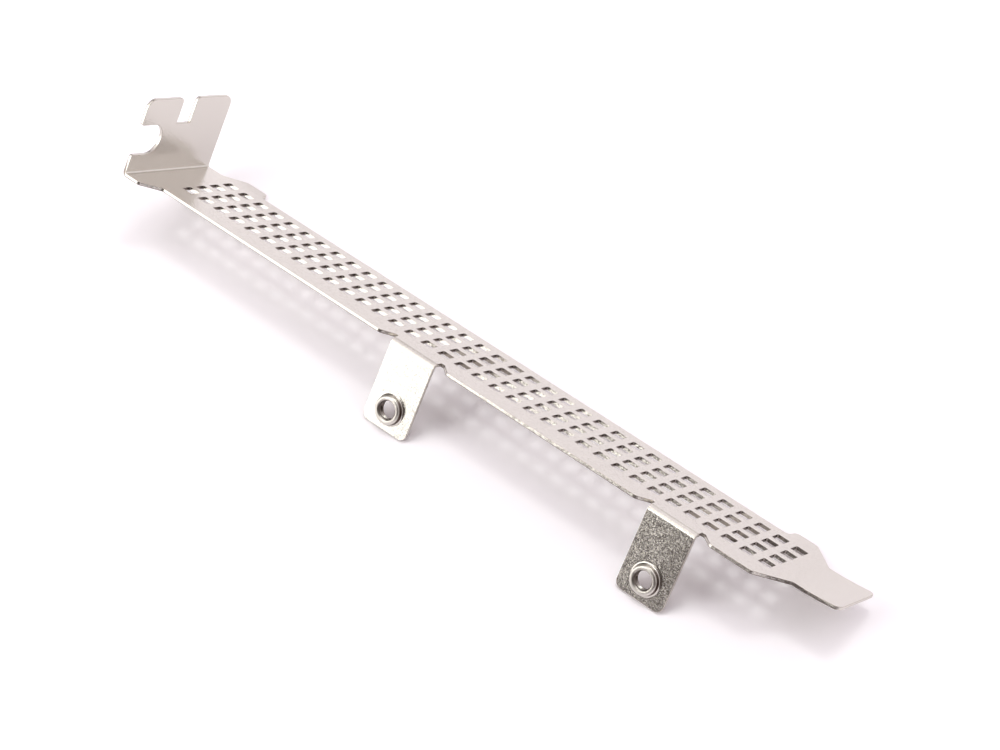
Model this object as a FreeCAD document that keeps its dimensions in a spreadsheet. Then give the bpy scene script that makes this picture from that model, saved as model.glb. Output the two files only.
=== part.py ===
import FreeCAD, Part
import math
import os
import Sketcher

# Vented card bracket: one sheet of plated steel, punched with rows of square vents and folded.
# The sheet is drawn in its own frame. X runs along the strip, from the outer face of the screw flange to
# the tip of the tongue. Y runs across it from the strip's centre line; the tabs stand on its near edge,
# which is the one at negative Y. Z leaves the outer face of the strip, which lies at Z = 0.
# The folded sheet is then laid down as it comes to rest, on its two tabs and the two ears of its far edge.

# Driving sizes: millimetres, and counts where the name says so.
SIZES = {
    "sheet_thickness": 0.5,
    # Strip and tongue
    "bracket_length": 120.25,
    "strip_width": 18.42,
    "tongue_length": 7.1,
    "tongue_width": 10.19,
    "tongue_curve_radius": 52.0,
    "tongue_corner_radius": 1.0,
    "outline_radius": 0.6,
    # Far edge: set back between two ears
    "ear_one_start": 6.2,
    "ear_one_length": 4.1,
    "ear_two_length": 3.55,
    "far_edge_setback": 2.0,
    "ear_step_rounding": 0.4,
    # Screw flange
    "flange_height": 11.43,
    "flange_width": 18.42,
    "flange_shift": 2.79,
    "flange_bend_radius": 0.25,
    "flange_corner_radius": 1.5,
    "near_corner_reach": 3.05,
    "near_taper_length": 2.4,
    # Screw notch, open to the near side, and the slot in the flange's top edge
    "notch_width": 4.6,
    "notch_depth": 5.2,
    "notch_middle_height": 5.12,
    "notch_lip_radius": 0.4,
    "slot_width": 3.0,
    "slot_depth": 4.0,
    "slot_shift": 0.2,
    "slot_mouth_radius": 0.7,
    # Tabs folded down from the near edge
    "tab_one_middle": 52.5,
    "tab_two_setback": 23.75,
    "tab_width": 7.62,
    "tab_drop": 12.2,
    "tab_bend_radius": 0.3,
    "tab_corner_radius": 1.1,
    "relief_depth": 1.6,
    "relief_gap": 0.55,
    "relief_corner_radius": 1.0,
    # Collars drawn out of the tabs and tapped
    "collar_diameter": 4.15,
    "collar_height": 0.9,
    "collar_above_tab_end": 3.1,
    "bore_diameter": 2.5,
    "collar_root_radius": 0.3,
    "collar_rim_radius": 0.4,
    "bore_back_radius": 0.25,
    "bore_mouth_radius": 0.35,
    # Square vents
    "vent_side": 1.85,
    "vent_corner_cut": 0.12,
    "vent_pitch": 3.0,
    "vent_column_count": 4,
    "vent_start": 5.79,
    "vent_end_margin": 10.0,
}
# Two points or radii closer than this are the same, in millimetres.
SAME_PLACE = 1e-4

doc = FreeCAD.newDocument("card_bracket")
sizes = doc.addObject("Spreadsheet::Sheet", "sizes")
for row, (alias, value) in enumerate(SIZES.items(), start=1):
    sizes.set("A%d" % row, alias)
    sizes.set("B%d" % row, str(value))
    sizes.setAlias("B%d" % row, alias)
doc.recompute()

# Places that follow from the driving sizes, in the sheet's own frame.
NEAR_EDGE = "(-sizes.strip_width / 2)"
FAR_EDGE = "(sizes.strip_width / 2)"
FLANGE_NEAR = "(-sizes.flange_shift - sizes.flange_width / 2)"
FLANGE_FAR = "(sizes.flange_width / 2 - sizes.flange_shift)"
FLANGE_BEND_OUTER = "(sizes.flange_bend_radius + sizes.sheet_thickness)"
NEAR_TAPER_END = "(sizes.near_corner_reach + sizes.near_taper_length)"
EAR_ONE_END = "(sizes.ear_one_start + sizes.ear_one_length)"
TONGUE_ROOT = "(sizes.bracket_length - sizes.tongue_length)"
SHOULDER = "(%s - (sizes.strip_width - sizes.tongue_width) / 2)" % TONGUE_ROOT
EAR_TWO_START = "(%s - sizes.ear_two_length)" % SHOULDER
FAR_SETBACK_EDGE = "(%s - sizes.far_edge_setback)" % FAR_EDGE
EAR_TAPER_START = "(sizes.ear_one_start - (%s - %s))" % (FAR_EDGE, FLANGE_FAR)
NOTCH_END_MIDDLE = "(%s + sizes.notch_depth - sizes.notch_width / 2)" % FLANGE_NEAR
SLOT_MIDDLE = "(-sizes.flange_shift - sizes.slot_shift)"
SLOT_FLOOR = "(sizes.flange_height - sizes.slot_depth)"
TAB_BEND_OUTER = "(sizes.tab_bend_radius + sizes.sheet_thickness)"
TAB_BEND_START = "(%s + %s)" % (NEAR_EDGE, TAB_BEND_OUTER)
TAB_NEAR_SIDE = "(sizes.tab_one_middle - sizes.tab_width / 2)"
TAB_FAR_SIDE = "(sizes.tab_one_middle + sizes.tab_width / 2)"
TAB_SPACING = "(sizes.bracket_length - sizes.tab_two_setback - sizes.tab_one_middle)"
RELIEF_LINE = "(%s + sizes.relief_depth)" % NEAR_EDGE
COLLAR_LEVEL = "(sizes.collar_above_tab_end - sizes.tab_drop)"
VENT_FIRST_COLUMN = "(-(sizes.vent_column_count - 1) * sizes.vent_pitch / 2)"
VENT_FIRST_ROW = "(sizes.vent_start + sizes.vent_side / 2)"
VENT_FIELD = "(sizes.bracket_length - sizes.vent_end_margin - sizes.vent_start - sizes.vent_side)"
VENT_ROW_COUNT = "(floor(%s / sizes.vent_pitch) + 1)" % VENT_FIELD

body = doc.addObject("PartDesign::Body", "bracket")
body.Label = "bracket"
origin = {feature.Role: feature for feature in body.Origin.OriginFeatures}


def number(text):
    """Value of an expression of the sheet's sizes."""
    return float(sizes.evalExpression(text))


def new_sketch(name, plane, lift="0"):
    """Empty sketch on an origin plane, lifted along the plane's normal (+Z, -Y or +X)."""
    sketch = body.newObject("Sketcher::SketchObject", name)
    sketch.AttachmentSupport = [(origin[plane], "")]
    sketch.MapMode = "FlatFace"
    sketch.setExpression("AttachmentOffset.Base.z", lift)
    return sketch


def set_size(sketch, constraint, text):
    """Adds a dimension to a sketch and binds it to an expression."""
    index = sketch.addConstraint(constraint)
    sketch.setExpression("Constraints[%d]" % index, text)


def place(sketch, geometry, point, across, up):
    """Dimensions a point of a sketch from the sketch's origin."""
    for kind, text in (("DistanceX", across), ("DistanceY", up)):
        set_size(sketch, Sketcher.Constraint(kind, -1, 1, geometry, point, number(text)), text)


def join(sketch, pairs):
    """Makes pairs of points coincide; each point is (geometry, end)."""
    for first, second in pairs:
        sketch.addConstraint(Sketcher.Constraint("Coincident", *first, *second))


def polygon(sketch, corners):
    """Closed straight-sided outline through corners given as pairs of expressions."""
    points = [FreeCAD.Vector(number(across), number(up), 0) for across, up in corners]
    count = len(points)
    for index in range(count):
        sketch.addGeometry(Part.LineSegment(points[index], points[(index + 1) % count]), False)
    join(sketch, [((index, 2), ((index + 1) % count, 1)) for index in range(count)])
    for index, (across, up) in enumerate(corners):
        place(sketch, index, 1, across, up)


def arc(sketch, middle, radius, start, end):
    """Adds an arc, anticlockwise between two angles in degrees, about a point; returns its index."""
    circle = Part.Circle(FreeCAD.Vector(*middle, 0), FreeCAD.Vector(0, 0, 1), radius)
    return sketch.addGeometry(Part.ArcOfCircle(circle, math.radians(start), math.radians(end)), False)


def line_between(sketch, first, second):
    """Adds a line that joins two existing points; each point is (geometry, end)."""
    index = sketch.addGeometry(Part.LineSegment(sketch.getPoint(*first), sketch.getPoint(*second)), False)
    join(sketch, [((index, 1), first), ((index, 2), second)])
    return index


def quarter_bend(sketch, across, up, inner, outer, start):
    """Section of a folded corner: a quarter ring about a point, beginning at 90 or 180 degrees."""
    middle = (number(across), number(up))
    begins, ends = ("Vertical", "Horizontal") if start == 90 else ("Horizontal", "Vertical")
    arcs = []
    for text in (inner, outer):
        index = arc(sketch, middle, number(text), start, start + 90)
        set_size(sketch, Sketcher.Constraint("Radius", index, number(text)), text)
        sketch.addConstraint(Sketcher.Constraint(begins, index, 3, index, 1))
        sketch.addConstraint(Sketcher.Constraint(ends, index, 3, index, 2))
        arcs.append(index)
    join(sketch, [((arcs[0], 3), (arcs[1], 3))])
    place(sketch, arcs[0], 3, across, up)
    for end in (1, 2):
        line_between(sketch, (arcs[0], end), (arcs[1], end))


def circle(sketch, across, up, diameter):
    """Circle placed and sized by expressions."""
    middle = FreeCAD.Vector(number(across), number(up), 0)
    index = sketch.addGeometry(Part.Circle(middle, FreeCAD.Vector(0, 0, 1), number(diameter) / 2), False)
    set_size(sketch, Sketcher.Constraint("Diameter", index, number(diameter)), diameter)
    place(sketch, index, 3, across, up)


def cut_square(across, up, side, cut):
    """Corners of a square about a point, with its own corners cut off at 45 degrees."""
    whole = "%s / 2" % side
    short = "(%s / 2 - %s)" % (side, cut)
    corners = []
    for right, above in ((1, 1), (-1, 1), (-1, -1), (1, -1)):
        pair = [(whole, short), (short, whole)]
        if right != above:
            pair.reverse()
        for out, over in pair:
            corners.append(("%s + %d * %s" % (across, right, out), "%s + %d * %s" % (up, above, over)))
    return corners


def pad(name, sketch, length, both_sides=False, reverse=False):
    """Adds material along the sketch's normal."""
    feature = body.newObject("PartDesign::Pad", name)
    feature.Profile = sketch
    feature.setExpression("Length", length)
    feature.SideType = "Symmetric" if both_sides else "One side"
    feature.Reversed = reverse
    doc.recompute()
    return feature


def pocket(name, sketch, reverse=False):
    """Cuts right through, against the sketch's normal, and makes sure that something went."""
    volume = body.Shape.Volume
    feature = body.newObject("PartDesign::Pocket", name)
    feature.Profile = sketch
    feature.Type = "ThroughAll"
    feature.Reversed = reverse
    doc.recompute()
    if feature.Shape.Volume >= volume:
        raise RuntimeError("%s cuts nothing" % name)
    return feature


def nearest_edges(points):
    """Names of the edges of the body whose middles lie nearest to the points."""
    names = []
    for point in points:
        gaps = [(edge.CenterOfMass - point).Length for edge in body.Tip.Shape.Edges]
        names.append("Edge%d" % (gaps.index(min(gaps)) + 1))
    return names


def ring_edges(rings):
    """Names of the circular edges of the body with the given middles and diameters."""
    names = []
    for middle, diameter in rings:
        for index, edge in enumerate(body.Tip.Shape.Edges, start=1):
            if not isinstance(edge.Curve, Part.Circle):
                continue
            if (edge.Curve.Center - middle).Length > SAME_PLACE:
                continue
            if abs(edge.Curve.Radius - number(diameter) / 2) < SAME_PLACE:
                names.append("Edge%d" % index)
    return names


def ease(name, edges, radius):
    """Rounds the named edges of the body."""
    base = body.Tip
    feature = body.newObject("PartDesign::Fillet", name)
    feature.Base = (base, edges)
    feature.setExpression("Radius", radius)
    doc.recompute()


def round_corners(name, points, radius):
    """Rounds the edges of the body that lie nearest to the points."""
    ease(name, nearest_edges(points), radius)


def sheet_point(across, along, up="-sizes.sheet_thickness / 2"):
    """Point of the sheet's own frame from three expressions, half-way through the strip by default."""
    return FreeCAD.Vector(number(across), number(along), number(up))


# Strip, tapering into the tongue at one end and into the flange's root at the other
outline = new_sketch("strip_outline", "XY_Plane")
polygon(outline, [
    (FLANGE_BEND_OUTER, FLANGE_NEAR),
    ("sizes.near_corner_reach", FLANGE_NEAR),
    (NEAR_TAPER_END, NEAR_EDGE),
    (SHOULDER, NEAR_EDGE),
    (TONGUE_ROOT, "-sizes.tongue_width / 2"),
    (TONGUE_ROOT, "sizes.tongue_width / 2"),
    (SHOULDER, FAR_EDGE),
    ("sizes.ear_one_start", FAR_EDGE),
    (EAR_TAPER_START, FLANGE_FAR),
    (FLANGE_BEND_OUTER, FLANGE_FAR),
])
pad("strip", outline, "sizes.sheet_thickness", reverse=True)

# Tongue, curving up gently out of the strip's plane
tongue_side = new_sketch("tongue_side", "XZ_Plane")
curve_middle = (number(TONGUE_ROOT), number("sizes.tongue_curve_radius"))
tongue_arcs = []
for level in ("0", "-sizes.sheet_thickness"):
    reach = curve_middle[1] - number(level)
    sweep = math.degrees(math.asin(number("sizes.tongue_length") / reach))
    face = arc(tongue_side, curve_middle, reach, 270, 270 + sweep)
    place(tongue_side, face, 1, TONGUE_ROOT, level)
    tip = Sketcher.Constraint("DistanceX", -1, 1, face, 2, number("sizes.bracket_length"))
    set_size(tongue_side, tip, "sizes.bracket_length")
    tongue_arcs.append(face)
join(tongue_side, [((tongue_arcs[0], 3), (tongue_arcs[1], 3))])
place(tongue_side, tongue_arcs[0], 3, TONGUE_ROOT, "sizes.tongue_curve_radius")
for end in (1, 2):
    line_between(tongue_side, (tongue_arcs[0], end), (tongue_arcs[1], end))
pad("tongue", tongue_side, "sizes.tongue_width", both_sides=True)

# Screw flange: the fold, then the upright sheet
flange_bend = new_sketch("flange_bend_section", "XZ_Plane", "sizes.flange_shift")
quarter_bend(flange_bend, FLANGE_BEND_OUTER, "sizes.flange_bend_radius",
             "sizes.flange_bend_radius", FLANGE_BEND_OUTER, 180)
pad("flange_bend", flange_bend, "sizes.flange_width", both_sides=True)
flange_face = new_sketch("flange_outline", "YZ_Plane")
polygon(flange_face, [
    (FLANGE_NEAR, "sizes.flange_bend_radius"),
    (FLANGE_FAR, "sizes.flange_bend_radius"),
    (FLANGE_FAR, "sizes.flange_height"),
    (FLANGE_NEAR, "sizes.flange_height"),
])
pad("flange", flange_face, "sizes.sheet_thickness")

# Screw notch with a round end
notch = new_sketch("notch_outline", "YZ_Plane")
notch_middle = (number(NOTCH_END_MIDDLE), number("sizes.notch_middle_height"))
notch_end = arc(notch, notch_middle, number("sizes.notch_width / 2"), -90, 90)
place(notch, notch_end, 3, NOTCH_END_MIDDLE, "sizes.notch_middle_height")
notch_round = Sketcher.Constraint("Radius", notch_end, number("sizes.notch_width / 2"))
set_size(notch, notch_round, "sizes.notch_width / 2")
notch_sides = []
for end in (1, 2):
    notch.addConstraint(Sketcher.Constraint("Vertical", notch_end, 3, notch_end, end))
    inner_point = notch.getPoint(notch_end, end)
    mouth_point = FreeCAD.Vector(number(FLANGE_NEAR), inner_point.y, 0)
    side = notch.addGeometry(Part.LineSegment(inner_point, mouth_point), False)
    join(notch, [((side, 1), (notch_end, end))])
    notch.addConstraint(Sketcher.Constraint("Horizontal", side))
    mouth = Sketcher.Constraint("DistanceX", -1, 1, side, 2, number(FLANGE_NEAR))
    set_size(notch, mouth, FLANGE_NEAR)
    notch_sides.append(side)
line_between(notch, (notch_sides[0], 2), (notch_sides[1], 2))
pocket("screw_notch", notch, reverse=True)

# Slot in the flange's top edge
slot = new_sketch("slot_outline", "YZ_Plane")
SLOT_NEAR = "(%s - sizes.slot_width / 2)" % SLOT_MIDDLE
SLOT_FAR = "(%s + sizes.slot_width / 2)" % SLOT_MIDDLE
polygon(slot, [
    (SLOT_NEAR, SLOT_FLOOR),
    (SLOT_FAR, SLOT_FLOOR),
    (SLOT_FAR, "sizes.flange_height"),
    (SLOT_NEAR, "sizes.flange_height"),
])
pocket("top_slot", slot, reverse=True)

# Far edge, set back between the two ears
setback = new_sketch("far_edge_outline", "XY_Plane")
polygon(setback, [
    (EAR_ONE_END, FAR_SETBACK_EDGE),
    (EAR_TWO_START, FAR_SETBACK_EDGE),
    (EAR_TWO_START, FAR_EDGE),
    (EAR_ONE_END, FAR_EDGE),
])
pocket("far_edge", setback)

# First tab: relief cuts beside its root, the fold, the hanging sheet, the collar and its bore
relief = new_sketch("relief_outline", "XY_Plane")
RELIEF_NEAR_SIDE = "(%s - sizes.relief_gap)" % TAB_NEAR_SIDE
RELIEF_FAR_SIDE = "(%s + sizes.relief_gap)" % TAB_FAR_SIDE
RELIEF_NEAR_MOUTH = "(%s - sizes.relief_depth)" % RELIEF_NEAR_SIDE
RELIEF_FAR_MOUTH = "(%s + sizes.relief_depth)" % RELIEF_FAR_SIDE
polygon(relief, [
    (RELIEF_NEAR_MOUTH, NEAR_EDGE),
    (RELIEF_FAR_MOUTH, NEAR_EDGE),
    (RELIEF_FAR_SIDE, RELIEF_LINE),
    (TAB_FAR_SIDE, RELIEF_LINE),
    (TAB_FAR_SIDE, TAB_BEND_START),
    (TAB_NEAR_SIDE, TAB_BEND_START),
    (TAB_NEAR_SIDE, RELIEF_LINE),
    (RELIEF_NEAR_SIDE, RELIEF_LINE),
])
relief_cut = pocket("tab_relief", relief)
tab_bend = new_sketch("tab_bend_section", "YZ_Plane", "sizes.tab_one_middle")
quarter_bend(tab_bend, TAB_BEND_START, "-%s" % TAB_BEND_OUTER, "sizes.tab_bend_radius", TAB_BEND_OUTER, 90)
tab_fold = pad("tab_bend", tab_bend, "sizes.tab_width", both_sides=True)
tab_face = new_sketch("tab_outline", "XZ_Plane", FAR_EDGE)
polygon(tab_face, [
    (TAB_NEAR_SIDE, "-sizes.tab_drop"),
    (TAB_FAR_SIDE, "-sizes.tab_drop"),
    (TAB_FAR_SIDE, "-%s" % TAB_BEND_OUTER),
    (TAB_NEAR_SIDE, "-%s" % TAB_BEND_OUTER),
])
tab_sheet = pad("tab", tab_face, "sizes.sheet_thickness", reverse=True)
collar_ring = new_sketch("collar_outline", "XZ_Plane", FAR_EDGE)
circle(collar_ring, "sizes.tab_one_middle", COLLAR_LEVEL, "sizes.collar_diameter")
collar = pad("collar", collar_ring, "sizes.collar_height")
bore_ring = new_sketch("bore_outline", "XZ_Plane", "%s + sizes.collar_height" % FAR_EDGE)
circle(bore_ring, "sizes.tab_one_middle", COLLAR_LEVEL, "sizes.bore_diameter")
bore = pocket("bore", bore_ring)

# Second tab, the same as the first
tabs = body.newObject("PartDesign::LinearPattern", "tabs")
tabs.Originals = [relief_cut, tab_fold, tab_sheet, collar, bore]
tabs.Direction = (origin["X_Axis"], [""])
tabs.setExpression("Length", TAB_SPACING)
tabs.Occurrences = 2
body.Tip = tabs
doc.recompute()

# Rounded corners of the blank
FLANGE_MIDDLE = "sizes.sheet_thickness / 2"
TONGUE_RISE = "(sizes.tongue_curve_radius - sqrt(sizes.tongue_curve_radius ^ 2 - sizes.tongue_length ^ 2))"
round_corners("flange_corners", [
    sheet_point(FLANGE_MIDDLE, FLANGE_NEAR, "sizes.flange_height"),
    sheet_point(FLANGE_MIDDLE, FLANGE_FAR, "sizes.flange_height"),
], "sizes.flange_corner_radius")
round_corners("slot_mouth", [
    sheet_point(FLANGE_MIDDLE, SLOT_NEAR, "sizes.flange_height"),
    sheet_point(FLANGE_MIDDLE, SLOT_FAR, "sizes.flange_height"),
], "sizes.slot_mouth_radius")
round_corners("notch_lips", [
    sheet_point(FLANGE_MIDDLE, FLANGE_NEAR, "sizes.notch_middle_height - sizes.notch_width / 2"),
    sheet_point(FLANGE_MIDDLE, FLANGE_NEAR, "sizes.notch_middle_height + sizes.notch_width / 2"),
], "sizes.notch_lip_radius")
round_corners("tongue_corners", [
    sheet_point("sizes.bracket_length", "-sizes.tongue_width / 2", TONGUE_RISE),
    sheet_point("sizes.bracket_length", "sizes.tongue_width / 2", TONGUE_RISE),
], "sizes.tongue_corner_radius")
round_corners("ear_steps", [
    sheet_point(EAR_ONE_END, FAR_EDGE),
    sheet_point(EAR_ONE_END, FAR_SETBACK_EDGE),
    sheet_point(EAR_TWO_START, FAR_SETBACK_EDGE),
    sheet_point(EAR_TWO_START, FAR_EDGE),
], "sizes.ear_step_rounding * sizes.far_edge_setback")
round_corners("outline_corners", [
    sheet_point("sizes.near_corner_reach", FLANGE_NEAR),
    sheet_point(NEAR_TAPER_END, NEAR_EDGE),
    sheet_point(EAR_TAPER_START, FLANGE_FAR),
    sheet_point("sizes.ear_one_start", FAR_EDGE),
    sheet_point(SHOULDER, NEAR_EDGE),
    sheet_point(SHOULDER, FAR_EDGE),
], "sizes.outline_radius")

# Rounded relief cuts and tab ends, and eased collars, on both tabs
TAB_MIDDLE = "(%s + sizes.sheet_thickness / 2)" % NEAR_EDGE
relief_corners = []
tab_corners = []
collar_roots = []
collar_rims = []
bore_mouths = []
bore_backs = []
for shift in ("0", TAB_SPACING):
    middle = "(sizes.tab_one_middle + %s)" % shift
    for side in ("%s + %s" % (RELIEF_NEAR_MOUTH, shift), "%s + %s" % (RELIEF_FAR_MOUTH, shift)):
        relief_corners.append(sheet_point(side, NEAR_EDGE))
    for side in ("%s + %s" % (TAB_NEAR_SIDE, shift), "%s + %s" % (TAB_FAR_SIDE, shift)):
        tab_corners.append(sheet_point(side, TAB_MIDDLE, "-sizes.tab_drop"))
    collar_end = sheet_point(middle, "%s - sizes.collar_height" % NEAR_EDGE, COLLAR_LEVEL)
    collar_root = sheet_point(middle, NEAR_EDGE, COLLAR_LEVEL)
    bore_back = sheet_point(middle, "%s + sizes.sheet_thickness" % NEAR_EDGE, COLLAR_LEVEL)
    collar_rims.append((collar_end, "sizes.collar_diameter"))
    bore_mouths.append((collar_end, "sizes.bore_diameter"))
    collar_roots.append((collar_root, "sizes.collar_diameter"))
    bore_backs.append((bore_back, "sizes.bore_diameter"))
round_corners("relief_corners", relief_corners, "sizes.relief_corner_radius")
round_corners("tab_corners", tab_corners, "sizes.tab_corner_radius")
ease("collar_roots", ring_edges(collar_roots), "sizes.collar_root_radius")
ease("collar_rims", ring_edges(collar_rims), "sizes.collar_rim_radius")
ease("bore_backs", ring_edges(bore_backs), "sizes.bore_back_radius")
ease("bore_mouths", ring_edges(bore_mouths), "sizes.bore_mouth_radius")

# Square vents with their corners cut off, in rows along the strip, evenly spaced both ways
EVEN_SPACING = -1.0
vent_outline = new_sketch("vent_outline", "XY_Plane")
polygon(vent_outline, cut_square(VENT_FIRST_ROW, VENT_FIRST_COLUMN,
                                 "sizes.vent_side", "sizes.vent_corner_cut"))
vent = pocket("vent", vent_outline)
vents = body.newObject("PartDesign::LinearPattern", "vents")
vents.Originals = [vent]
vents.Direction = (origin["X_Axis"], [""])
vents.Mode = "Spacing"
vents.setExpression("Offset", "sizes.vent_pitch")
vents.setExpression("Occurrences", VENT_ROW_COUNT)
vents.Direction2 = (origin["Y_Axis"], [""])
vents.Mode2 = "Spacing"
vents.Spacings2 = [EVEN_SPACING]
vents.setExpression("Offset2", "sizes.vent_pitch")
vents.setExpression("Occurrences2", "sizes.vent_column_count")
body.Tip = vents
doc.recompute()

# Laid down: turned about X until the tabs' inner ends and the ears' lower edges are level, with the origin
# under the middle of the box that just holds the bracket
REST_TILT = "atan((sizes.tab_drop - sizes.sheet_thickness) / (sizes.strip_width - sizes.sheet_thickness))"
FLANGE_REACH = (
    "((%s - sizes.flange_corner_radius) * cos(%s)"
    " + (sizes.flange_height - sizes.flange_corner_radius) * sin(%s) + sizes.flange_corner_radius)"
    % (FLANGE_FAR, REST_TILT, REST_TILT))
COLLAR_REACH = (
    "((%s + sizes.collar_height - sizes.collar_rim_radius) * cos(%s)"
    " + (sizes.collar_diameter / 2 - %s - sizes.collar_rim_radius) * sin(%s) + sizes.collar_rim_radius)"
    % (FAR_EDGE, REST_TILT, COLLAR_LEVEL, REST_TILT))
TAB_REACH = "(%s * cos(%s) + sizes.tab_drop * sin(%s))" % (FAR_EDGE, REST_TILT, REST_TILT)
laid_turn = FreeCAD.Rotation(FreeCAD.Vector(-1, 0, 0), number(REST_TILT))
body.Placement = FreeCAD.Placement(FreeCAD.Vector(), laid_turn)
body.setExpression("Placement.Rotation.Angle", REST_TILT)
body.setExpression("Placement.Base.x", "-sizes.bracket_length / 2")
body.setExpression("Placement.Base.y", "(max(%s; %s) - %s) / 2" % (COLLAR_REACH, TAB_REACH, FLANGE_REACH))
body.setExpression("Placement.Base.z",
                   "sizes.sheet_thickness * cos(%s) + %s * sin(%s)" % (REST_TILT, FAR_EDGE, REST_TILT))
doc.recompute()

for item in doc.Objects:
    if "Invalid" in item.State or "Error" in item.State:
        raise RuntimeError("%s failed" % item.Name)
shape = body.Shape
if shape.isNull() or not shape.isValid() or len(shape.Solids) != 1:
    raise RuntimeError("the bracket is not one valid solid")
os.makedirs("parts", exist_ok=True)
shape.exportStep("parts/%s.step" % body.Label)
print(body.Label, shape.BoundBox, "volume", shape.Volume, "faces", len(shape.Faces))
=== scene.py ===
"""Looks, light and camera for a vented expansion card bracket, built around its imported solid."""
import logging
import math
from dataclasses import dataclass
from enum import Enum

import bmesh
import bpy
from mathutils import Matrix, Vector


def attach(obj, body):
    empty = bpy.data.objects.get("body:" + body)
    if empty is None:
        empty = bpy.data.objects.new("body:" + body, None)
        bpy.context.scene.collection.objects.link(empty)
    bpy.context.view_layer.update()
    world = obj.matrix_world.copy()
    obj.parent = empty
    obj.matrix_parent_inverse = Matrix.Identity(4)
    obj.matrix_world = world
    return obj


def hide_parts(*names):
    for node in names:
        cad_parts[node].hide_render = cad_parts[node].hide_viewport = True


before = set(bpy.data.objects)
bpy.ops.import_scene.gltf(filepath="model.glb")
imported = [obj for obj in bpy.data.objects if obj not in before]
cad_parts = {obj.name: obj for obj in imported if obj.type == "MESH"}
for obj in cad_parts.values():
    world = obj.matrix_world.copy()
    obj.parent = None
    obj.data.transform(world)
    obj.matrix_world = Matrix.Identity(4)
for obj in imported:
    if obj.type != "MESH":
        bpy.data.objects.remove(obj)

LOG = logging.getLogger("bracket")
MM = 0.001
CAD_NODE = "bracket"
ROOT_BODY = "root"
# Two points of the sheet closer than this are the same, in millimetres.
SAME_PLACE = 0.001
# A direction of length one with more than this along an axis points along it.
ALONG_AXIS = 0.999
Colour = tuple[float, float, float]
Place = tuple[float, float, float]


class Socket(Enum):
    """Kinds of node group socket."""

    FLOAT = "NodeSocketFloat"
    COLOUR = "NodeSocketColor"
    VECTOR = "NodeSocketVector"
    GEOMETRY = "NodeSocketGeometry"
    MATERIAL = "NodeSocketMaterial"


class Side(Enum):
    """Sides of a node group."""

    IN = "INPUT"
    OUT = "OUTPUT"


class Mark(Enum):
    """Surface attributes that the finish reads."""

    PLACE = "own_place"
    # Share of painted shade on the cut walls, bores and collar walls, which also sets their roughness.
    CUT_WALL_SHADE = "punched"
    SHEARED = "sheared"
    DEPTH = "depth"
    EASED = "eased"


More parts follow.
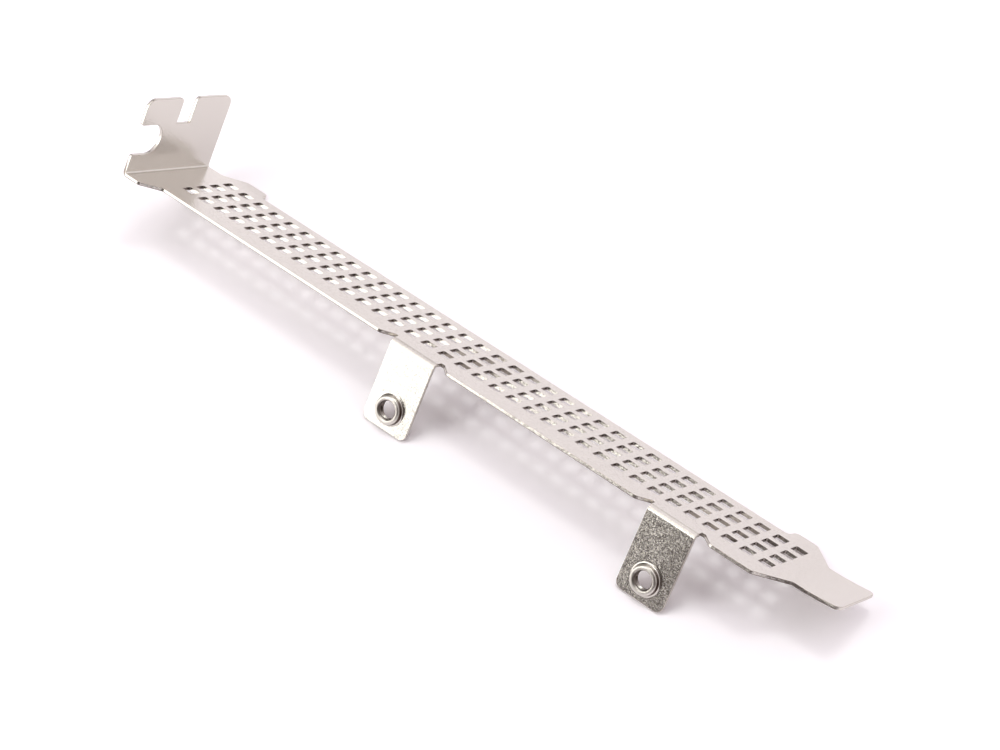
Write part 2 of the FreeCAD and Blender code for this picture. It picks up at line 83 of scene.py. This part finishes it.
@dataclass(frozen=True)
class SheetSizes:
    """Sizes of the folded sheet in millimetres, in its own frame.

    X runs from the flange's outer face to the tongue, Y across the strip from its middle and Z out of the
    strip's outer face.
    """

    thickness: float = 0.5
    length: float = 120.25
    width: float = 18.42
    tab_drop: float = 12.2
    tab_width: float = 7.62
    tab_bend_radius: float = 0.3
    flange_height: float = 11.43
    flange_shift: float = 2.79
    flange_bend_radius: float = 0.25
    flange_corner_radius: float = 1.5
    collar_height: float = 0.9
    collar_radius: float = 2.075
    collar_rim_radius: float = 0.4
    collar_lift: float = 0.02
    collar_above_tab_end: float = 3.1
    bore_radius: float = 1.25
    tab_middles: tuple[float, float] = (52.5, 96.5)
    vents_from: float = 5.7
    vents_to: float = 111.0
    vents_half_width: float = 5.5

    @property
    def tilt(self) -> float:
        """Angle of the strip to the floor, in radians."""
        return math.atan2(self.tab_drop - self.thickness, self.width - self.thickness)

    @property
    def near_edge(self) -> float:
        """Place of the tabs' outer faces across the strip."""
        return -self.width / 2

    @property
    def tab_bend(self) -> float:
        """Outer radius of the tabs' folds."""
        return self.tab_bend_radius + self.thickness

    @property
    def flange_bend(self) -> float:
        """Outer radius of the flange's fold."""
        return self.flange_bend_radius + self.thickness

    @property
    def collar_level(self) -> float:
        """Height of the collars' axes in the sheet's own frame."""
        return self.collar_above_tab_end - self.tab_drop

    def in_vents(self, place: Vector) -> bool:
        """Tells whether a point of the strip lies among the vents."""
        return self.vents_from < place.x < self.vents_to and abs(place.y) < self.vents_half_width

    def by_collar_axis(self, place: Vector, reach: float) -> bool:
        """Tells whether a point lies within reach of a collar's axis."""
        return any(math.hypot(place.x - middle, place.z - self.collar_level) < reach
                   for middle in self.tab_middles)

    def in_collar(self, place: Vector) -> bool:
        """Tells whether a point lies on a collar, outside the tab's own face."""
        raised = place.y < self.near_edge - self.collar_lift
        return raised and self.by_collar_axis(place, self.collar_radius + self.thickness)

    def in_bore(self, place: Vector) -> bool:
        """Tells whether a point lies in or close to a collar's bore."""
        return self.by_collar_axis(place, self.bore_radius + self.thickness)

    def in_tab(self, place: Vector) -> bool:
        """Tells whether a point lies on a tab or its fold."""
        reach = self.tab_width / 2 + SAME_PLACE
        return place.y < self.near_edge + self.tab_bend and any(
            abs(place.x - middle) < reach for middle in self.tab_middles)

    def across(self, place: Vector) -> Vector:
        """Direction through the sheet at a point, from its outer face inwards.

        Args:
            place: the point, in the sheet's own frame.

        Returns:
            The direction, of length one.
        """
        if self.in_tab(place):
            if place.z < -self.tab_bend:
                return Vector((0.0, 1.0, 0.0))
            fold = Vector((0.0, self.near_edge + self.tab_bend, -self.tab_bend))
            return (fold - Vector((0.0, place.y, place.z))).normalized()
        if place.x < self.flange_bend:
            if place.z > self.flange_bend_radius:
                return Vector((-1.0, 0.0, 0.0))
            fold = Vector((self.flange_bend, 0.0, self.flange_bend_radius))
            return (Vector((place.x, 0.0, place.z)) - fold).normalized()
        return Vector((0.0, 0.0, -1.0))

    def depth(self, place: Vector) -> float:
        """Depth of a point below the sheet's outer face.

        Args:
            place: the point, in the sheet's own frame.

        Returns:
            The depth, which is negative on the collars.
        """
        inwards = self.across(place)
        if inwards.z < -ALONG_AXIS:
            return -place.z
        if inwards.y > ALONG_AXIS:
            return place.y - self.near_edge
        if inwards.x < -ALONG_AXIS:
            return self.thickness - place.x
        if place.x < self.flange_bend:
            from_fold = math.hypot(place.x - self.flange_bend, place.z - self.flange_bend_radius)
            return from_fold - self.flange_bend_radius
        return self.tab_bend - math.hypot(place.y - self.near_edge - self.tab_bend, place.z + self.tab_bend)

    def laid(self) -> Matrix:
        """Works out how the sheet lies on its tabs and its far edge.

        Returns:
            Matrix from the sheet's own frame to the frame it lies in, both in millimetres.
        """
        half = self.width / 2
        cos, sin = math.cos(self.tilt), math.sin(self.tilt)
        flange_side = half - self.flange_shift - self.flange_corner_radius
        flange_top = self.flange_height - self.flange_corner_radius
        flange_reach = flange_side * cos + flange_top * sin + self.flange_corner_radius
        collar_end = half + self.collar_height - self.collar_rim_radius
        collar_low = self.collar_radius - self.collar_level - self.collar_rim_radius
        collar_reach = collar_end * cos + collar_low * sin + self.collar_rim_radius
        rise = self.thickness * cos + half * sin
        shift = Vector((-self.length / 2, (collar_reach - flange_reach) / 2, rise))
        return Matrix.Translation(shift) @ Matrix.Rotation(-self.tilt, 4, "X")


class NodeTree:
    """Short ways to add and link nodes."""

    def __init__(self, tree: bpy.types.NodeTree) -> None:
        """Wraps a node tree."""
        self.tree = tree

    def add(self, kind: str, **settings: object) -> bpy.types.Node:
        """Adds a node.

        Args:
            kind: Blender's name of the node type.
            settings: properties of the node, by name.

        Returns:
            The new node.
        """
        node = self.tree.nodes.new(kind)
        for name, value in settings.items():
            setattr(node, name, value)
        return node

    def link(self, source: bpy.types.NodeSocket, target: bpy.types.NodeSocket) -> None:
        """Joins two sockets."""
        self.tree.links.new(source, target)

    def math(self, operation: str, first: object, second: object = 0.0) -> bpy.types.NodeSocket:
        """Adds a calculation with two values or sockets.

        Args:
            operation: Blender's name of the operation.
            first: number or socket.
            second: number or socket.

        Returns:
            The result's socket.
        """
        node = self.add("ShaderNodeMath", operation=operation)
        for socket, value in zip(node.inputs, (first, second)):
            if isinstance(value, bpy.types.NodeSocket):
                self.link(value, socket)
            else:
                socket.default_value = value
        return node.outputs[0]

    def mix(self, share: bpy.types.NodeSocket, first: object, second: object) -> bpy.types.NodeSocket:
        """Adds a mix of two colours.

        Args:
            share: socket with the second colour's share.
            first: colour or socket.
            second: colour or socket.

        Returns:
            The mixed colour's socket.
        """
        node = self.add("ShaderNodeMix", data_type="RGBA")
        self.link(share, node.inputs["Factor"])
        colours = [socket for socket in node.inputs if socket.type == "RGBA"]
        for socket, value in zip(colours, (first, second)):
            if isinstance(value, bpy.types.NodeSocket):
                self.link(value, socket)
            else:
                socket.default_value = (*value, 1.0)
        return next(socket for socket in node.outputs if socket.type == "RGBA")

    def blend(self, share: bpy.types.NodeSocket, first: bpy.types.NodeSocket,
              second: float) -> bpy.types.NodeSocket:
        """Adds a mix of a value that varies and a fixed one.

        Args:
            share: socket with the fixed value's share.
            first: socket with the value that varies.
            second: the fixed value.

        Returns:
            The mixed value's socket.
        """
        node = self.add("ShaderNodeMix", data_type="FLOAT")
        self.link(share, node.inputs["Factor"])
        self.link(first, node.inputs["A"])
        node.inputs["B"].default_value = second
        return node.outputs["Result"]


@dataclass(frozen=True)
class PlatedSteel:
    """Bright plated steel with a fine pebbled skin and sheared edges with a torn zone, and painted shade:
    near-black cut walls, darker eased edges and a darkened torn zone.

    Depths and the pebbles are in millimetres of the sheet.
    """

    colour: Colour = (0.65, 0.622, 0.575)
    roughness: float = 0.18
    roughness_spread: float = 0.08
    # Painted shade: near-black colour for the cut walls, bores and collar walls, in place of the dark
    # surroundings they mirror.
    cut_wall_shade_colour: Colour = (0.08, 0.045, 0.035)
    punched_roughness: float = 0.22
    # Painted shade: the eased edges are coloured darker than the plating, to outline the silhouettes.
    eased_edge_shade_colour: Colour = (0.52, 0.47, 0.42)
    # The torn zone is rougher than the plating; its dark colour is painted shade along the lower outline of
    # the sheared edges.
    torn_zone_shade_colour: Colour = (0.27, 0.235, 0.21)
    torn_roughness: float = 0.45
    torn_from: float = 0.36
    torn_to: float = 0.42
    sheared_roughness: float = 0.25
    drawn_roughness: float = 0.36
    drawn_lift: float = 0.1
    pebble_per_mm: float = 8.0
    pebble_tilt: float = 0.11
    flattened_share: float = 0.3
    flattened_from: float = 1.0
    grain_stretch: float = 0.06

    def skin(self) -> bpy.types.ShaderNodeTree:
        """Makes the node group for everything that changes over the sheet's surface.

        Returns:
            The group, with the skin's normal, colour and roughness as outputs.
        """
        group = bpy.data.node_groups.new("plated_skin", "ShaderNodeTree")
        sockets = (
            ("Place", Side.IN, Socket.VECTOR),
            ("Punched", Side.IN, Socket.FLOAT),
            ("Eased", Side.IN, Socket.FLOAT),
            ("Sheared", Side.IN, Socket.FLOAT),
            ("Depth", Side.IN, Socket.FLOAT),
            ("Facing", Side.IN, Socket.VECTOR),
            ("Normal", Side.OUT, Socket.VECTOR),
            ("Colour", Side.OUT, Socket.COLOUR),
            ("Roughness", Side.OUT, Socket.FLOAT),
        )
        for name, side, kind in sockets:
            group.interface.new_socket(name, in_out=side.value, socket_type=kind.value)
        nodes = NodeTree(group)
        start = nodes.add("NodeGroupInput")
        end = nodes.add("NodeGroupOutput")
        torn = self.torn_share(nodes, start)
        nodes.link(self.pebbled_normal(nodes, start), end.inputs["Normal"])
        nodes.link(self.skin_roughness(nodes, start, torn), end.inputs["Roughness"])
        nodes.link(self.skin_colour(nodes, start, torn), end.inputs["Colour"])
        return group

    def pebbled_normal(self, nodes: NodeTree, start: bpy.types.Node) -> bpy.types.NodeSocket:
        """Leans each pebble of the skin its own way, and much less on the flange, which is pressed flat.

        Args:
            nodes: the group's nodes.
            start: the group's input node.

        Returns:
            Socket with the leaning normal.
        """
        pebbles = nodes.add("ShaderNodeTexVoronoi")
        pebbles.inputs["Scale"].default_value = self.pebble_per_mm
        nodes.link(start.outputs["Place"], pebbles.inputs["Vector"])
        lean = nodes.add("ShaderNodeVectorMath", operation="MULTIPLY_ADD")
        lean.inputs[1].default_value = (self.pebble_tilt,) * 3
        lean.inputs[2].default_value = (-self.pebble_tilt / 2,) * 3
        nodes.link(pebbles.outputs["Color"], lean.inputs[0])
        place = nodes.add("ShaderNodeSeparateXYZ")
        nodes.link(start.outputs["Place"], place.inputs["Vector"])
        flattened = nodes.add("ShaderNodeMapRange")
        flattened.inputs["From Max"].default_value = self.flattened_from
        flattened.inputs["To Min"].default_value = 1.0
        flattened.inputs["To Max"].default_value = self.flattened_share
        nodes.link(place.outputs["Z"], flattened.inputs["Value"])
        pressed = nodes.add("ShaderNodeVectorMath", operation="SCALE")
        nodes.link(lean.outputs[0], pressed.inputs[0])
        nodes.link(flattened.outputs["Result"], pressed.inputs["Scale"])
        leant = nodes.add("ShaderNodeVectorMath", operation="ADD")
        nodes.link(start.outputs["Facing"], leant.inputs[0])
        nodes.link(pressed.outputs[0], leant.inputs[1])
        level = nodes.add("ShaderNodeVectorMath", operation="NORMALIZE")
        nodes.link(leant.outputs[0], level.inputs[0])
        return level.outputs[0]

    def torn_share(self, nodes: NodeTree, start: bpy.types.Node) -> bpy.types.NodeSocket:
        """Marks the torn zone of the sheared edges, which lies deepest below the outer face.

        Args:
            nodes: the group's nodes.
            start: the group's input node.

        Returns:
            Socket with the torn zone's share.
        """
        below = nodes.add("ShaderNodeMapRange", interpolation_type="SMOOTHSTEP")
        below.inputs["From Min"].default_value = self.torn_from
        below.inputs["From Max"].default_value = self.torn_to
        nodes.link(start.outputs["Depth"], below.inputs["Value"])
        return nodes.math("MULTIPLY", below.outputs["Result"], start.outputs["Sheared"])

    def skin_roughness(self, nodes: NodeTree, start: bpy.types.Node,
                       torn: bpy.types.NodeSocket) -> bpy.types.NodeSocket:
        """Varies the roughness along the rolled grain and over the worked places.

        Args:
            nodes: the group's nodes.
            start: the group's input node.
            torn: socket with the torn zone's share.

        Returns:
            Socket with the roughness.
        """
        stretched = nodes.add("ShaderNodeVectorMath", operation="MULTIPLY")
        stretched.inputs[1].default_value = (self.grain_stretch, 1.0, 1.0)
        nodes.link(start.outputs["Place"], stretched.inputs[0])
        grain = nodes.add("ShaderNodeTexNoise")
        grain.inputs["Scale"].default_value = self.pebble_per_mm
        nodes.link(stretched.outputs[0], grain.inputs["Vector"])
        spread = nodes.math("MULTIPLY_ADD", grain.outputs["Fac"], self.roughness_spread)
        spread.node.inputs[2].default_value = self.roughness
        walls = nodes.blend(start.outputs["Punched"], spread, self.punched_roughness)
        edges = nodes.blend(start.outputs["Sheared"], walls, self.sheared_roughness)
        matt = nodes.blend(torn, edges, self.torn_roughness)
        raised = nodes.math("LESS_THAN", start.outputs["Depth"], -self.drawn_lift)
        drawn = nodes.math("MULTIPLY", raised, start.outputs["Sheared"])
        return nodes.blend(drawn, matt, self.drawn_roughness)

    def skin_colour(self, nodes: NodeTree, start: bpy.types.Node,
                    torn: bpy.types.NodeSocket) -> bpy.types.NodeSocket:
        """Colours the plating and paints shade on the cut walls, the eased edges and the torn zone.

        Args:
            nodes: the group's nodes.
            start: the group's input node.
            torn: socket with the torn zone's share.

        Returns:
            Socket with the colour.
        """
        # Painted shade: the cut walls take the near-black colour by their share.
        walls = nodes.mix(start.outputs["Punched"], self.colour, self.cut_wall_shade_colour)
        # Painted shade: the eased edges take their darker colour.
        edges = nodes.mix(start.outputs["Eased"], walls, self.eased_edge_shade_colour)
        # Painted shade: the torn zone takes a dark colour, on top of its real rougher finish.
        return nodes.mix(torn, edges, self.torn_zone_shade_colour)

    def material(self) -> bpy.types.Material:
        """Makes the material of the whole sheet.

        Returns:
            The material, which reads the sheet's surface attributes.
        """
        material = bpy.data.materials.new("plated_steel")
        material.use_nodes = True
        nodes = NodeTree(material.node_tree)
        shader = material.node_tree.nodes["Principled BSDF"]
        shader.inputs["Metallic"].default_value = 1.0
        place = nodes.add("ShaderNodeAttribute", attribute_name=Mark.PLACE.value)
        skin = nodes.add("ShaderNodeGroup", node_tree=self.skin())
        nodes.link(place.outputs["Vector"], skin.inputs["Place"])
        for mark in (Mark.CUT_WALL_SHADE, Mark.EASED, Mark.SHEARED, Mark.DEPTH):
            value = nodes.add("ShaderNodeAttribute", attribute_name=mark.value)
            nodes.link(value.outputs["Fac"], skin.inputs[mark.value.capitalize()])
        facing = nodes.add("ShaderNodeNewGeometry")
        nodes.link(facing.outputs["Normal"], skin.inputs["Facing"])
        nodes.link(skin.outputs["Normal"], shader.inputs["Normal"])
        nodes.link(skin.outputs["Colour"], shader.inputs["Base Color"])
        nodes.link(skin.outputs["Roughness"], shader.inputs["Roughness"])
        return material


@dataclass
class ThreadCutter:
    """Helical cutter for the thread in a collar, in millimetres about the Z axis."""

    radius: float
    length: float
    pitch: float = 0.5
    depth: float = 0.23
    steps_per_turn: int = 48
    section_sides: int = 4

    def nodes(self) -> bpy.types.GeometryNodeTree:
        """Makes the node tree that sweeps a four-sided section along a helix.

        Returns:
            The tree, with the helix's sizes as named inputs.
        """
        tree = bpy.data.node_groups.new("thread_cutter", "GeometryNodeTree")
        for name in ("Radius", "Length", "Pitch", "Depth"):
            tree.interface.new_socket(name, in_out=Side.IN.value, socket_type=Socket.FLOAT.value)
        tree.interface.new_socket("Material", in_out=Side.IN.value, socket_type=Socket.MATERIAL.value)
        tree.interface.new_socket("Geometry", in_out=Side.OUT.value, socket_type=Socket.GEOMETRY.value)
        nodes = NodeTree(tree)
        start = nodes.add("NodeGroupInput")
        end = nodes.add("NodeGroupOutput")
        helix = nodes.add("GeometryNodeCurveSpiral")
        helix.inputs["Resolution"].default_value = self.steps_per_turn
        turns = nodes.math("DIVIDE", start.outputs["Length"], start.outputs["Pitch"])
        nodes.link(turns, helix.inputs["Rotations"])
        nodes.link(start.outputs["Radius"], helix.inputs["Start Radius"])
        nodes.link(start.outputs["Radius"], helix.inputs["End Radius"])
        nodes.link(start.outputs["Length"], helix.inputs["Height"])
        upright = nodes.add("GeometryNodeSetCurveNormal", mode="Z_UP")
        nodes.link(helix.outputs["Curve"], upright.inputs["Curve"])
        section = nodes.add("GeometryNodeCurvePrimitiveCircle")
        section.inputs["Resolution"].default_value = self.section_sides
        nodes.link(start.outputs["Depth"], section.inputs["Radius"])
        sweep = nodes.add("GeometryNodeCurveToMesh")
        sweep.inputs["Fill Caps"].default_value = True
        nodes.link(upright.outputs["Curve"], sweep.inputs["Curve"])
        nodes.link(section.outputs["Curve"], sweep.inputs["Profile Curve"])
        real = nodes.add("GeometryNodeRealizeInstances")
        nodes.link(sweep.outputs["Mesh"], real.inputs["Geometry"])
        coat = nodes.add("GeometryNodeSetMaterial")
        nodes.link(real.outputs["Geometry"], coat.inputs["Geometry"])
        nodes.link(start.outputs["Material"], coat.inputs["Material"])
        nodes.link(coat.outputs["Geometry"], end.inputs["Geometry"])
        return tree

    def build(self, material: bpy.types.Material, place: Matrix) -> bpy.types.Object:
        """Makes the cutter as a plain mesh.

        Args:
            material: the material of the cut faces.
            place: matrix from the cutter's own millimetres to metres in the frame.

        Returns:
            The cutter.
        """
        holder = bpy.data.objects.new("thread_cutter", bpy.data.meshes.new("thread_cutter"))
        bpy.context.scene.collection.objects.link(holder)
        modifier = holder.modifiers.new("helix", "NODES")
        modifier.node_group = self.nodes()
        values = {"Radius": self.radius, "Length": self.length, "Pitch": self.pitch, "Depth": self.depth,
                  "Material": material}
        for item in modifier.node_group.interface.items_tree:
            if item.in_out == Side.IN.value:
                modifier[item.identifier] = values[item.name]
        plain = plain_mesh(holder)
        holder.modifiers.clear()
        plain.transform(place)
        holder.data = plain
        return holder


def plain_mesh(item: bpy.types.Object) -> bpy.types.Mesh:
    """Copies an object's mesh with its modifiers in it.

    Args:
        item: the object.

    Returns:
        The new mesh.
    """
    graph = bpy.context.evaluated_depsgraph_get()
    graph.update()
    return bpy.data.meshes.new_from_object(item.evaluated_get(graph))


@dataclass
class BracketSheet:
    """The folded sheet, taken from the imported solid, with eased edges and tapped collars.

    Lengths are in millimetres and angles in degrees.
    """

    sizes: SheetSizes
    finish: PlatedSteel
    weld_distance: float = 0.0005
    flat_angle: float = 0.3
    edge_angle: float = 50.0
    edge_ease: float = 0.05
    vent_ease_share: float = 0.3
    edge_steps: int = 3
    sharp_angle: float = 40.0
    wall_slope: float = 0.5
    # Shares of the cut walls' painted shade: for walls facing across the strip, and for the vents' walls.
    lengthwise_share: float = 0.1
    vent_share: float = 0.82
    thread_overrun: float = 0.5

    def build(self) -> bpy.types.Object:
        """Copies the solid's mesh, eases its edges, cuts the threads and marks its surface.

        Returns:
            The new piece.
        """
        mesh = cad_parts[CAD_NODE].data.copy()
        mesh.name = "bracket_sheet"
        work = bmesh.new()
        work.from_mesh(mesh)
        bmesh.ops.remove_doubles(work, verts=work.verts, dist=self.weld_distance * MM)
        bmesh.ops.dissolve_limit(work, angle_limit=math.radians(self.flat_angle), verts=work.verts,
                                 edges=work.edges)
        work.to_mesh(mesh)
        work.free()
        mesh.materials.clear()
        mesh.materials.append(self.finish.material())
        piece = bpy.data.objects.new("bracket_sheet", mesh)
        bpy.context.scene.collection.objects.link(piece)
        self.ease_edges(piece)
        self.cut_threads(piece)
        self.mark_surface(piece.data)
        return piece

    def ease_edges(self, piece: bpy.types.Object) -> None:
        """Rounds the sheet's sharp edges a little and marks the faces that this makes.

        Args:
            piece: the sheet.
        """
        piece.data.shade_smooth()
        self.weigh_edges(piece.data)
        bevel = piece.modifiers.new("edges", "BEVEL")
        bevel.width = self.edge_ease * MM
        bevel.segments = self.edge_steps
        bevel.limit_method = "WEIGHT"
        bevel.use_clamp_overlap = False
        bevel.material = 1
        piece.data.materials.append(piece.data.materials[0])
        piece.data = plain_mesh(piece)
        piece.modifiers.clear()
        eased = piece.data.attributes.new(Mark.EASED.value, "FLOAT", "FACE")
        for face, item in zip(piece.data.polygons, eased.data):
            item.value = float(face.material_index)
            face.material_index = 0
        piece.data.materials.pop()

    def weigh_edges(self, mesh: bpy.types.Mesh) -> None:
        """Marks the sharp edges for easing, those of the vents for much less.

        Args:
            mesh: the sheet's mesh.
        """
        to_own = self.sizes.laid().inverted()
        work = bmesh.new()
        work.from_mesh(mesh)
        weight = work.edges.layers.float.new("bevel_weight_edge")
        for edge in work.edges:
            if edge.calc_face_angle(0.0) > math.radians(self.edge_angle):
                middle = to_own @ ((edge.verts[0].co + edge.verts[1].co) / (2 * MM))
                edge[weight] = self.vent_ease_share if self.sizes.in_vents(middle) else 1.0
        work.to_mesh(mesh)
        work.free()

    def cut_threads(self, piece: bpy.types.Object) -> None:
        """Cuts a thread into each collar's bore and keeps the flat faces flat to the light.

        Args:
            piece: the sheet.
        """
        sizes = self.sizes
        length = sizes.collar_height + sizes.thickness + 2 * self.thread_overrun
        cutter = ThreadCutter(sizes.bore_radius, length)
        mouth = sizes.near_edge - sizes.collar_height - self.thread_overrun
        turn = Matrix.Rotation(-math.pi / 2, 4, "X")
        for middle in sizes.tab_middles:
            along_bore = Matrix.Translation((middle, mouth, sizes.collar_level)) @ turn
            tool = cutter.build(piece.data.materials[0], Matrix.Scale(MM, 4) @ sizes.laid() @ along_bore)
            cut = piece.modifiers.new("thread", "BOOLEAN")
            cut.operation = "DIFFERENCE"
            cut.solver = "EXACT"
            cut.object = tool
            piece.data = plain_mesh(piece)
            piece.modifiers.clear()
            bpy.data.objects.remove(tool)
        piece.data.set_sharp_from_angle(angle=math.radians(self.sharp_angle))
        piece.data.transform(Matrix.Scale(1.0 / MM, 4))  # the modifier drops sums of areas in square metres
        weigh = piece.modifiers.new("normals", "WEIGHTED_NORMAL")
        weigh.keep_sharp = True
        piece.data = plain_mesh(piece)
        piece.data.transform(Matrix.Scale(MM, 4))
        piece.modifiers.clear()

    def cut_wall_shade_share(self, middle: Vector, facing: Vector, cut: bool) -> float:
        """Tells how much painted shade a wall gets; walls that face along the strip are painted the
        darkest.

        Args:
            middle: the face's middle, in the sheet's own frame.
            facing: the face's normal there.
            cut: whether the face goes through the sheet.

        Returns:
            The share of the painted shade, which also sets the wall's roughness.
        """
        vent = self.sizes.in_vents(middle)
        if not (self.sizes.in_bore(middle) or cut and (self.sizes.in_collar(middle) or vent)):
            return 0.0
        # Painted shade: the more a wall faces along the strip, the darker it is painted.
        share = self.lengthwise_share + (1.0 - self.lengthwise_share) * abs(facing.x)
        return share * self.vent_share if vent else share

    def mark_surface(self, mesh: bpy.types.Mesh) -> None:
        """Stores what the finish needs: places and depths in the sheet, the cut walls' share of painted
        shade and the sheared edges.

        Args:
            mesh: the sheet's finished mesh.
        """
        to_own = self.sizes.laid().inverted()
        turn = to_own.to_3x3()
        places = [to_own @ (vertex.co / MM) for vertex in mesh.vertices]
        depths = [self.sizes.depth(place) for place in places]
        walls = []
        edges = []
        for face in mesh.polygons:
            middle = to_own @ (face.center / MM)
            facing = turn @ face.normal
            cut = abs(self.sizes.across(middle).dot(facing)) < self.wall_slope
            walls.append(self.cut_wall_shade_share(middle, facing, cut))
            edge = cut and not self.sizes.in_vents(middle)
            edges.append(float(edge or self.sizes.in_collar(middle)))
        layer = mesh.attributes.new(Mark.PLACE.value, "FLOAT_VECTOR", "POINT")
        layer.data.foreach_set("vector", [value for place in places for value in place])
        layers = (
            (Mark.DEPTH, "POINT", depths),
            (Mark.CUT_WALL_SHADE, "FACE", walls),
            (Mark.SHEARED, "FACE", edges),
        )
        for mark, domain, values in layers:
            layer = mesh.attributes.new(mark.value, "FLOAT", domain)
            layer.data.foreach_set("value", values)

    def dress(self, piece: bpy.types.Object) -> None:
        """Gives the piece its place in the part.

        Args:
            piece: the sheet.
        """
        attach(piece, ROOT_BODY)
        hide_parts(CAD_NODE)


@dataclass(frozen=True)
class SoftLight:
    """Rectangular soft light in metres, by what a mirror would see of it."""

    name: str
    place: Place
    aim: Place
    size: tuple[float, float]
    radiance: float
    colour: Colour

    def build(self) -> None:
        """Adds the light to the scene."""
        data = bpy.data.lights.new(self.name, "AREA")
        data.shape = "RECTANGLE"
        data.size, data.size_y = self.size
        data.energy = self.radiance * math.pi * self.size[0] * self.size[1]
        data.color = self.colour
        lamp = bpy.data.objects.new(self.name, data)
        lamp.location = self.place
        lamp.rotation_mode = "QUATERNION"
        lamp.rotation_quaternion = (Vector(self.aim) - Vector(self.place)).to_track_quat("-Z", "Y")
        bpy.context.scene.collection.objects.link(lamp)


@dataclass
class Studio:
    """White table, soft lights and the camera, in metres and degrees."""

    table_side: float = 3.0
    table_colour: Colour = (0.86, 0.86, 0.86)
    table_seen: Colour = (1.14, 1.112, 1.162)
    room_colour: Colour = (0.075, 0.055, 0.05)
    panels: tuple[SoftLight, ...] = (
        SoftLight(name="overhead", place=(0.1, 0.65, 1.0), aim=(0.1, 0.65, 0.0), size=(2.0, 1.6),
                  radiance=1.1, colour=(1.0, 0.95, 0.99)),
        SoftLight(name="back", place=(0.0, 1.3, 0.5), aim=(0.0, 0.0, 0.5), size=(2.6, 1.0),
                  radiance=0.8, colour=(1.0, 0.97, 0.98)),
        SoftLight(name="right", place=(0.8, 0.4, 0.35), aim=(0.0, 0.4, 0.35), size=(1.2, 0.7),
                  radiance=1.0, colour=(1.0, 0.97, 0.98)),
        SoftLight(name="near", place=(-0.265, -0.44, 0.52), aim=(-0.265, -0.44, 0.0), size=(0.37, 0.8),
                  radiance=1.5, colour=(1.0, 1.0, 0.97)),
    )
    key_rise: float = 78.0
    key_distance: float = 0.7
    key_size: tuple[float, float] = (0.16, 0.13)
    key_radiance: float = 10.0
    key_colour: Colour = (0.95, 1.0, 0.94)
    front_edge: float = 22.3
    front_distance: float = 0.42
    front_size: tuple[float, float] = (0.4, 0.5)
    front_radiance: float = 2.6
    front_colour: Colour = (1.0, 1.0, 0.97)
    camera_place: Place = (0.165457, -0.190069, 0.292386)
    camera_rise: float = 41.35
    camera_turn: float = 40.62
    sensor_width_mm: float = 36.0
    lens_mm: float = 102.16

    def table(self) -> None:
        """Makes the table top, which looks white to the camera and to mirrors and keeps its shadows."""
        mesh = bpy.data.meshes.new("table")
        half = self.table_side / 2
        corners = [(-half, -half, 0), (half, -half, 0), (half, half, 0), (-half, half, 0)]
        mesh.from_pydata(corners, [], [(0, 1, 2, 3)])
        table = bpy.data.objects.new("table", mesh)
        bpy.context.scene.collection.objects.link(table)
        material = bpy.data.materials.new("table")
        material.use_nodes = True
        nodes = NodeTree(material.node_tree)
        material.node_tree.nodes.clear()
        end = nodes.add("ShaderNodeOutputMaterial")
        paper = nodes.add("ShaderNodeBsdfDiffuse")
        ray = nodes.add("ShaderNodeLightPath")
        seen = nodes.math("ADD", ray.outputs["Is Camera Ray"], ray.outputs["Is Glossy Ray"])
        seen = nodes.math("ADD", seen, ray.outputs["Is Transmission Ray"])
        shown = nodes.mix(seen, self.table_colour, self.table_seen)
        nodes.link(shown, paper.inputs["Color"])
        nodes.link(paper.outputs["BSDF"], end.inputs["Surface"])
        mesh.materials.append(material)

    def key(self) -> SoftLight:
        """Small bright panel high over the back.

        Returns:
            The light.
        """
        rise = math.radians(self.key_rise)
        place = (0.0, math.cos(rise) * self.key_distance, math.sin(rise) * self.key_distance)
        return SoftLight("key", place, (0.0, 0.0, 0.0), self.key_size, self.key_radiance, self.key_colour)

    def front(self) -> SoftLight:
        """Upright panel at the front left, whose right edge the tabs mirror.

        Returns:
            The light.
        """
        edge = math.radians(self.front_edge)
        width, height = self.front_size
        corner = Vector((-math.sin(edge), -math.cos(edge), 0.0)) * self.front_distance
        away = Vector((-math.cos(edge), math.sin(edge), 0.0))
        place = corner + away * width / 2 + Vector((0.0, 0.0, height / 2))
        aim = place - corner
        return SoftLight("front", tuple(place), tuple(aim), self.front_size, self.front_radiance,
                         self.front_colour)

    def light(self) -> None:
        """Adds the lights and the dim room around them."""
        world = bpy.data.worlds.new("room")
        world.use_nodes = True
        world.node_tree.nodes["Background"].inputs["Color"].default_value = (*self.room_colour, 1.0)
        bpy.context.scene.world = world
        for light in (*self.panels, self.key(), self.front()):
            light.build()

    def camera(self) -> None:
        """Sets the camera where the photograph was taken from."""
        data = bpy.data.cameras.new("camera")
        data.sensor_width = self.sensor_width_mm
        data.lens = self.lens_mm
        camera = bpy.data.objects.new("camera", data)
        camera.location = self.camera_place
        camera.rotation_euler = (math.radians(self.camera_rise), 0.0, math.radians(self.camera_turn))
        bpy.context.scene.collection.objects.link(camera)
        bpy.context.scene.camera = camera
        bpy.context.scene.view_settings.view_transform = "Standard"


def main() -> None:
    """Builds and dresses the bracket, then sets the stage."""
    logging.basicConfig(level=logging.INFO, format="%(message)s")
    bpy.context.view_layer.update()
    sheet = BracketSheet(SheetSizes(), PlatedSteel())
    piece = sheet.build()
    sheet.dress(piece)
    LOG.info("%s: %d faces", piece.name, len(piece.data.polygons))
    studio = Studio()
    studio.table()
    studio.light()
    studio.camera()


if __name__ == "__main__":
    main()
